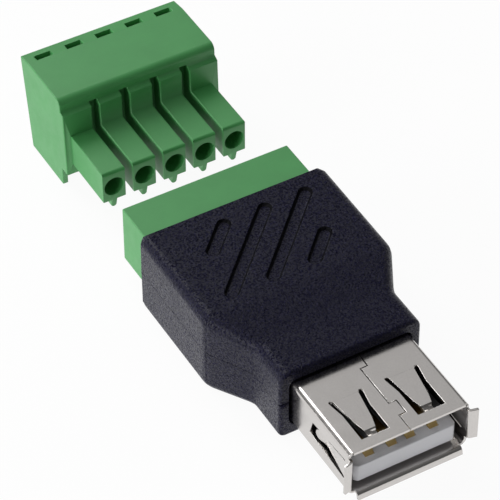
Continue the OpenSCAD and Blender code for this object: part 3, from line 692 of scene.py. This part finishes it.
def apart(place, edge):
    """Distance of a place from an edge"""
    one, other = (vert.co for vert in edge.verts)
    share = (place - one).dot(other - one) / max((other - one).length_squared, 1e-9)
    return (place - one.lerp(other, min(1.0, max(0.0, share)))).length


def shown_piece(mesh, name, material, body, replaced, smooth=40.0):
    """A finished piece from a mesh in metres: shaded, and set on its body in place of CAD nodes"""
    mesh.polygons.foreach_set("use_smooth", [True] * len(mesh.polygons))
    mesh.set_sharp_from_angle(angle=math.radians(smooth))
    mesh.materials.clear()
    mesh.materials.append(material)
    piece = bpy.data.objects.new(name, mesh)
    bpy.context.scene.collection.objects.link(piece)
    even = piece.modifiers.new("even_normals", "WEIGHTED_NORMAL")
    even.keep_sharp = True
    even.weight = 80
    made = bpy.data.meshes.new_from_object(piece.evaluated_get(bpy.context.evaluated_depsgraph_get()))
    piece.modifiers.clear()
    piece.data = made
    made.name = name
    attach(piece, body)
    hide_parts(*replaced)
    return piece


def shifted(bm, x):
    bmesh.ops.translate(bm, vec=(x, 0.0, 0.0), verts=bm.verts)
    return bm


def dress(node, material):
    """Gives a CAD node that stays a better material"""
    NODES[node].data.materials.clear()
    NODES[node].data.materials.append(material)


# Operators

class ADAPTER_OT_stage(bpy.types.Operator):
    """Adds the camera, the pale floor and the soft light"""
    bl_idname = "adapter.stage"
    bl_label = "Stage"

    def execute(self, context):
        stage = settings().stage
        scene = context.scene
        scene.view_settings.view_transform = "Standard"
        lens = bpy.data.cameras.new("camera")
        lens.lens = stage.lens
        lens.sensor_width = 36.0
        lens.shift_x, lens.shift_y = stage.shift
        lens.clip_start, lens.clip_end = 0.01, 10.0
        camera = bpy.data.objects.new("camera", lens)
        camera.location = stage.camera_at
        camera.rotation_euler = stage.camera_turn
        scene.collection.objects.link(camera)
        scene.camera = camera
        self.floor(scene)
        self.world(scene, stage.sky, stage.dusk)
        self.lamp(scene, "key", stage.key, stage.key_size, stage.key_at)
        self.lamp(scene, "side", stage.side, stage.side_size, stage.side_at)
        return {"FINISHED"}

    def floor(self, scene):
        mesh = bpy.data.meshes.new("floor")
        half = 3.0
        mesh.from_pydata([(-half, -half, 0), (half, -half, 0), (half, half, 0), (-half, half, 0)], [],
                         [(0, 1, 2, 3)])
        floor = bpy.data.objects.new("floor", mesh)
        floor.data.materials.append(self.floor_paint())
        scene.collection.objects.link(floor)

    def floor_paint(self):
        """A white light table, with a little pale paint on it that takes the shadow"""
        material = bpy.data.materials.new("floor_paint")
        material.use_nodes = True
        tree = material.node_tree
        tree.nodes.clear()
        end = tree.nodes.new("ShaderNodeOutputMaterial")
        paint = add_node(tree, "ShaderNodeBsdfDiffuse", {"Color": (0.95, 0.95, 0.95, 1.0)})
        glow = add_node(tree, "ShaderNodeEmission", {"Color": (1.0, 1.0, 1.0, 1.0), "Strength": 1.0})
        table = settings().stage.table
        face = add_node(tree, "ShaderNodeMixShader", {0: table, 1: paint.outputs[0], 2: glow.outputs[0]})
        clear = tree.nodes.new("ShaderNodeBsdfTransparent")
        back = tree.nodes.new("ShaderNodeNewGeometry").outputs["Backfacing"]
        both = add_node(tree, "ShaderNodeMixShader", {0: back, 1: face.outputs[0], 2: clear.outputs[0]})
        tree.links.new(both.outputs[0], end.inputs[0])
        return material

    def world(self, scene, sky, dusk):
        """A soft sky: bright overhead, dim near the floor and in front, and white to the camera"""
        world = bpy.data.worlds.new("studio")
        world.use_nodes = True
        tree = world.node_tree
        tree.nodes.clear()
        end = tree.nodes.new("ShaderNodeOutputWorld")
        path = tree.nodes.new("ShaderNodeLightPath")
        ray = add_node(tree, "ShaderNodeSeparateXYZ",
                       {0: tree.nodes.new("ShaderNodeTexCoord").outputs["Generated"]})
        over = add_node(tree, "ShaderNodeMapRange", {"Value": ray.outputs["Z"], "From Min": 0.1,
                                                     "From Max": 0.95}, interpolation_type="SMOOTHSTEP")
        behind = add_node(tree, "ShaderNodeMapRange", {"Value": ray.outputs["Y"], "From Min": -0.4,
                                                       "From Max": 0.7, "To Min": 0.12},
                          interpolation_type="SMOOTHSTEP")
        level = math_node(tree, "MULTIPLY", over.outputs[0], behind.outputs[0])
        level = math_node(tree, "ADD", math_node(tree, "MULTIPLY", level, sky), dusk)
        soft = add_node(tree, "ShaderNodeBackground", {"Color": (1.0, 1.0, 1.0, 1.0), "Strength": level})
        white = add_node(tree, "ShaderNodeBackground", {"Color": (1.0, 1.0, 1.0, 1.0), "Strength": 1.0})
        both = add_node(tree, "ShaderNodeMixShader", {0: path.outputs["Is Camera Ray"],
                                                      1: soft.outputs[0], 2: white.outputs[0]})
        tree.links.new(both.outputs[0], end.inputs[0])
        scene.world = world

    def lamp(self, scene, name, power, size, place):
        light = bpy.data.lights.new(name, "AREA")
        light.energy = power
        light.shape = "SQUARE"
        light.size = size
        lamp = bpy.data.objects.new(name, light)
        lamp.location = place
        lamp.rotation_euler = (-Vector(place)).to_track_quat("-Z", "Y").to_euler()
        scene.collection.objects.link(lamp)


class ADAPTER_OT_housing(bpy.types.Operator):
    """Rounds and grains the two halves of the housing"""
    bl_idname = "adapter.housing"
    bl_label = "Housing"

    def execute(self, context):
        edges = settings().edges
        paint = housing_plastic()
        for node, name in (("upper_shell", "housing_top"), ("lower_shell", "housing_base")):
            bm = cad_copy(node)
            self.draw_grooves(bm)
            self.round_rear(bm)
            self.soften(bm)
            mesh = rounded(bm, edges.rim / MM, wanted=self.radius)
            shown_piece(mesh, name, paint, "adapter", [node])
        return {"FINISHED"}

    def radius(self, edge):
        """Radius of an edge: the nose's outer rim, the grip grooves, the parting line, or none"""
        edges, form = settings().edges, settings().form
        nose, top = side("upper_shell", LOW, Y), side("upper_shell", HIGH, Z)
        middle = (edge.verts[0].co + edge.verts[1].co) / 2
        out = max(2 * abs(middle.x) / form.neck_w, abs(2 * middle.z - top) / form.neck_h) * MM
        if all(abs(v.co.y - nose) < LEVEL for v in edge.verts):
            return (edges.rim if out > OUTER else edges.groove) / MM
        if all(v.co.z > top - GROOVE_REACH and v.co.y > -form.taper_start / MM for v in edge.verts):
            return edges.groove / MM
        if all(abs(v.co.z - top / 2) < PARTING_BAND for v in edge.verts) and out > OUTER:
            return edges.parting / MM
        return 0.0

    def draw_grooves(self, bm):
        """Slopes the walls of the grip grooves, as the mould draws off them"""
        form, top = settings().form, side("upper_shell", HIGH, Z)
        draft, front = form.draft / MM, -form.taper_start / MM
        moves = {}
        for face in bm.faces:
            depth = top - face.calc_center_median().z
            if face.normal.z > FACES_UP and GROOVE_LEAST < depth < GROOVE_REACH:
                for vert in face.verts:
                    walls = [near.normal for near in vert.link_faces if abs(near.normal.z) < FACES_SIDEWAYS]
                    if walls and vert.co.y > front:
                        moves[vert] = sum(walls, Vector()).normalized() * draft
        for vert, move in moves.items():
            vert.co += move

    def round_rear(self, bm):
        """Rounds the long top and bottom edges more and more towards the rear face"""
        form = settings().form
        wide, back = side("upper_shell", HIGH, X), side("upper_shell", HIGH, Y)
        tall, corner = side("upper_shell", HIGH, Z) / 2, form.rear_corner / MM
        for step in range(1, CURVE_STEPS + 1):
            bmesh.ops.bisect_plane(bm, geom=bm.verts[:] + bm.edges[:] + bm.faces[:],
                                   plane_co=(0, back - corner * step / CURVE_STEPS, 0), plane_no=(0, 1, 0))
        for vert in bm.verts:
            across = abs(vert.co.x) - (wide - corner)
            up = abs(vert.co.z - tall) - (tall - corner)
            depth = (back - vert.co.y) / corner
            if across > 0.0 and up > 0.0 and depth < 1.0:
                most = corner * (1.0 + (math.sqrt(2.0) - 1.0) * depth)
                shrink = min(1.0, most / math.hypot(across, up))
                vert.co.x = math.copysign(wide - corner + across * shrink, vert.co.x)
                vert.co.z = tall + math.copysign(tall - corner + up * shrink, vert.co.z - tall)

    def soften(self, bm):
        """Bends the surface gently through the two creases of the taper"""
        form = settings().form
        start, end, half = -form.taper_start / MM, -form.taper_end / MM, form.crease / MM
        wide, tall = side("upper_shell", HIGH, X), side("upper_shell", HIGH, Z) / 2
        fall_x = (wide - form.neck_w / MM / 2) / (start - end)
        fall_z = (tall - form.neck_h / MM / 2) / (start - end)
        for place in (start, end):
            for step in range(-CURVE_STEPS, CURVE_STEPS + 1):
                bmesh.ops.bisect_plane(bm, geom=bm.verts[:] + bm.edges[:] + bm.faces[:],
                                       plane_co=(0, place + half * step / CURVE_STEPS, 0),
                                       plane_no=(0, 1, 0))
        for vert in bm.verts:
            for place, sense in ((start, -1.0), (end, 1.0)):
                away = abs(vert.co.y - place)
                if away < half:
                    bend = sense * (half - away) ** 2 / (4 * half)
                    vert.co.x *= 1 + bend * fall_x / wide
                    vert.co.z = tall + (vert.co.z - tall) * (1 + bend * fall_z / tall)


class ADAPTER_OT_terminals(bpy.types.Operator):
    """Rounds the green header and the green plug"""
    bl_idname = "adapter.terminals"
    bl_label = "Terminals"

    def execute(self, context):
        edges = settings().edges
        paint = terminal_plastic()
        shown_piece(rounded(cad_copy("terminal_header"), edges.terminal / MM), "header_moulding", paint,
                    "adapter", ["terminal_header"])
        plug = rounded(cad_copy("plug_body", self.square_noses), edges.nose / MM, 4, wanted=self.radius)
        shown_piece(plug, "plug_moulding", paint, "plug", ["plug_body"])
        return {"FINISHED"}

    def square_noses(self, bm):
        """Makes each finger's nose flat out to its edges, so that it can be rounded in one piece"""
        tip = side("plug_body", LOW, Y)
        under = settings().form.finger_under / MM - NOSE_UNDER
        for vert in bm.verts:
            if vert.co.y < tip + NOSE_DEPTH and vert.co.z > under:
                vert.co.y = tip

    def radius(self, edge):
        """Radius of an edge of the plug: large over the fingers' noses, none in the clamps' pockets"""
        edges, tip = settings().edges, side("plug_body", LOW, Y)
        one, other = (vert.co for vert in edge.verts)
        middle = (one + other) / 2
        front, back = side("clamp_cage_1", LOW, Y) - POCKET_FRONT, side("plug_body", HIGH, Y) - POCKET_BACK
        inside = (front < middle.y < back
                  and side("plug_body", LOW, X) + SKIN < middle.x < side("plug_body", HIGH, X) - SKIN
                  and middle.z < side("plug_body", HIGH, Z) - SKIN)
        if inside:
            return 0.0
        if max(one.y, other.y) > tip + LEVEL:
            return edges.terminal / MM
        level = abs(one.z - other.z) < LEVEL
        over = middle.z > centre("header_pin_1", Z) + FINGER_HALF
        return (edges.nose if level and over else edges.small) / MM


class ADAPTER_OT_usb(bpy.types.Operator):
    """Dresses the USB shell, the insulator and the contacts"""
    bl_idname = "adapter.usb"
    bl_label = "USB socket"

    def execute(self, context):
        finish, edges = settings().finish, settings().edges
        nickel = plated_metal("nickel", finish.steel, 0.16, 0.23, 0.000004, 0.10)
        sheet = rounded(cad_copy("usb_shell"), edges.lip / MM, 2, wanted=self.radius)
        shown_piece(sheet, "usb_sheet", nickel, "adapter", ["usb_shell"])
        white = plain_moulding("white_insulator", finish.white, 0.38, 0.48, shaded=True)
        shown_piece(rounded(cad_copy("usb_tongue"), edges.insulator / MM), "usb_insulator", white,
                    "adapter", ["usb_tongue"])
        gilt = plated_metal("gilt", finish.gilt, 0.40, 0.50, 0.000002, 0.08, shaded=True)
        for name, left, right in (("usb_outer_contacts", 1, 4), ("usb_inner_contacts", 2, 3)):
            pair = ["usb_contact_%d" % left, "usb_contact_%d" % right]
            spacing = centre(pair[1], X) - centre(pair[0], X)
            bm = shifted(cad_copy(pair[0]), spacing / 2)
            mesh = grown(rounded(bm, edges.contact / MM, 3), row_tree(),
                         {"Count": 2, "Spacing": spacing * MM, "Material": gilt})
            shown_piece(mesh, name, gilt, "adapter", pair)
        return {"FINISHED"}

    def radius(self, edge):
        """Radius of an edge of the shell: larger over its mouth"""
        edges = settings().edges
        front, top = side("usb_tongue", LOW, Y) - LIP_REACH, side("usb_contact_1", HIGH, Z) + LIP_OVER
        level = abs(edge.verts[0].co.z - edge.verts[1].co.z) < LEVEL
        at_mouth = level and all(v.co.y < front and v.co.z > top for v in edge.verts)
        return (edges.lip if at_mouth else edges.sheet) / MM


class ADAPTER_OT_inner(bpy.types.Operator):
    """Dresses the board and makes the rows of pins and sockets"""
    bl_idname = "adapter.inner"
    bl_label = "Pins and sockets"

    def execute(self, context):
        finish, edges = settings().finish, settings().edges
        dress("circuit_board", plain_moulding("solder_mask", finish.board, 0.3, 0.4))
        tin = plated_metal("tin", finish.tin, 0.28, 0.40, 0.000003, 0.08)
        for kind, name, body in (("header_pin_%d", "header_pins", "adapter"),
                                 ("socket_contact_%d", "plug_sockets", "plug")):
            mesh = grown(rounded(cad_copy(kind % 3), edges.small / MM, 2), row_tree(),
                         {"Count": len(POLES), "Spacing": PITCH * MM, "Material": tin})
            shown_piece(mesh, name, tin, body, [kind % i for i in POLES])
        return {"FINISHED"}


class ADAPTER_OT_clamps(bpy.types.Operator):
    """Makes the clamp cages and the threaded clamp screws"""
    bl_idname = "adapter.clamps"
    bl_label = "Clamps"

    def execute(self, context):
        finish, edges = settings().finish, settings().edges
        cage = plated_metal("cage_nickel", finish.cage, 0.28, 0.42, 0.000003, 0.10)
        zinc = plated_metal("zinc", finish.zinc, 0.30, 0.45, 0.000003, 0.12)
        for i in POLES:
            node = "clamp_cage_%d" % i
            shown_piece(rounded(cad_copy(node), edges.small / MM, 2), "wire_cage_%d" % i, cage,
                        "cage_%d" % i, [node])
            node = "clamp_screw_%d" % i
            shown_piece(self.screw(node, zinc), "wire_screw_%d" % i, zinc, "screw_%d" % i,
                        [node])
        return {"FINISHED"}

    def screw(self, node, zinc):
        """A slotted screw: its shank thinned to the thread's root, and the thread wound on it"""
        form, edges = settings().form, settings().edges
        bm = cad_copy(node)
        x, y = centre(node, X), centre(node, Y)
        head = side(node, HIGH, X) - x
        ridge = form.ridge / MM

        def out(vert):
            return math.hypot(vert.co.x - x, vert.co.y - y)

        shank = [v for v in bm.verts if out(v) < OUTER * head]
        radius = max(out(v) for v in shank)
        root = radius - ridge
        low, high = min(v.co.z for v in shank), max(v.co.z for v in shank)
        for vert in shank:
            vert.co.x = x + (vert.co.x - x) * root / radius
            vert.co.y = y + (vert.co.y - y) * root / radius
        return grown(rounded(bm, edges.small / MM, 2), thread_tree(),
                     {"Place": Vector((x, y, low + ridge)) * MM, "Radius": root * MM,
                      "Height": (high - low - 2.5 * ridge) * MM, "Rise": form.thread,
                      "Ridge": form.ridge, "Material": zinc})


OPERATORS = (ADAPTER_OT_stage, ADAPTER_OT_housing, ADAPTER_OT_terminals, ADAPTER_OT_usb, ADAPTER_OT_inner,
             ADAPTER_OT_clamps)


class ADAPTER_PT_panel(bpy.types.Panel):
    """Lists the adapter's operators and settings"""
    bl_idname = "ADAPTER_PT_panel"
    bl_label = "USB terminal adapter"
    bl_space_type = "VIEW_3D"
    bl_region_type = "UI"
    bl_category = "Adapter"

    def draw(self, context):
        for operator in OPERATORS:
            self.layout.operator(operator.bl_idname)
        held = context.scene.adapter
        for group in (held.edges, held.form, held.finish, held.stage):
            for name in group.__annotations__:
                self.layout.prop(group, name)


CLASSES = ((AdapterEdges, AdapterForm, AdapterFinish, AdapterStage, AdapterSettings) + OPERATORS
           + (ADAPTER_PT_panel,))


def register():
    for cls in CLASSES:
        bpy.utils.register_class(cls)
    bpy.types.Scene.adapter = PointerProperty(type=AdapterSettings)


def unregister():
    del bpy.types.Scene.adapter
    for cls in reversed(CLASSES):
        bpy.utils.unregister_class(cls)


def main():
    register()
    bpy.ops.adapter.stage()
    bpy.ops.adapter.housing()
    bpy.ops.adapter.terminals()
    bpy.ops.adapter.usb()
    bpy.ops.adapter.inner()
    bpy.ops.adapter.clamps()


if __name__ == "__main__":
    main()
